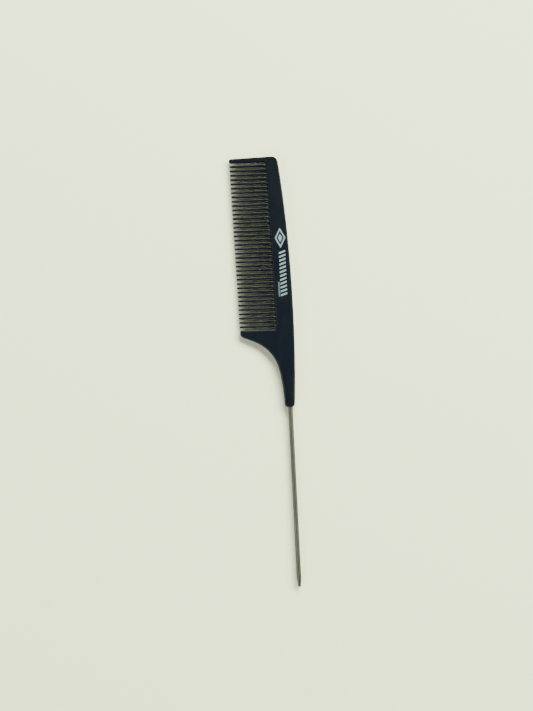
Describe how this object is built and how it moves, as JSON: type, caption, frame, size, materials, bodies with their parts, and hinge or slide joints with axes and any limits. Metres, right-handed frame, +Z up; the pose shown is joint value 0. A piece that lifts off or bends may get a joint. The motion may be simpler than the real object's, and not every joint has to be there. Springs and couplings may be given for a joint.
{
  "type": "rat tail comb",
  "caption": "Fine-toothed moulded comb with a bowed spine, hooked heel and slim handle, and a straight steel tail pin for parting hair.",
  "frame": {"origin": "middle of the comb's box in plan, on the face it rests on when it lies flat", "axes": "+Y along the spine and tail pin towards the nose of the comb, -X the way the teeth point, +Z up through the comb's thickness"},
  "size_m": [0.0298, 0.225, 0.0044],
  "materials": {
    "comb_plastic": "satin moulded black plastic with a faint blue cast",
    "tail_steel": "drawn stainless steel rod, satin, with a rounded tip",
    "print_ink": "thin silver-grey pad-printed ink on the spine's upper face"
  },
  "bodies": {
    "root": {"spine": "comb_plastic", "heel": "comb_plastic", "tail_handle": "comb_plastic", "front_guard_tooth": "comb_plastic", "tooth_01": "comb_plastic", "tooth_02": "comb_plastic", "tooth_03": "comb_plastic", "tooth_04": "comb_plastic", "tooth_05": "comb_plastic", "tooth_06": "comb_plastic", "tooth_07": "comb_plastic", "tooth_08": "comb_plastic", "tooth_09": "comb_plastic", "tooth_10": "comb_plastic", "tooth_11": "comb_plastic", "tooth_12": "comb_plastic", "tooth_13": "comb_plastic", "tooth_14": "comb_plastic", "tooth_15": "comb_plastic", "tooth_16": "comb_plastic", "tooth_17": "comb_plastic", "tooth_18": "comb_plastic", "tooth_19": "comb_plastic", "tooth_20": "comb_plastic", "tooth_21": "comb_plastic", "tooth_22": "comb_plastic", "tooth_23": "comb_plastic", "tooth_24": "comb_plastic", "tooth_25": "comb_plastic", "tooth_26": "comb_plastic", "tooth_27": "comb_plastic", "tooth_28": "comb_plastic", "tooth_29": "comb_plastic", "tooth_30": "comb_plastic", "tooth_31": "comb_plastic", "tooth_32": "comb_plastic", "tooth_33": "comb_plastic", "tooth_34": "comb_plastic", "tooth_35": "comb_plastic", "tooth_36": "comb_plastic", "tooth_37": "comb_plastic", "tooth_38": "comb_plastic", "tail_pin": "tail_steel"}
  },
  "joints": []
}
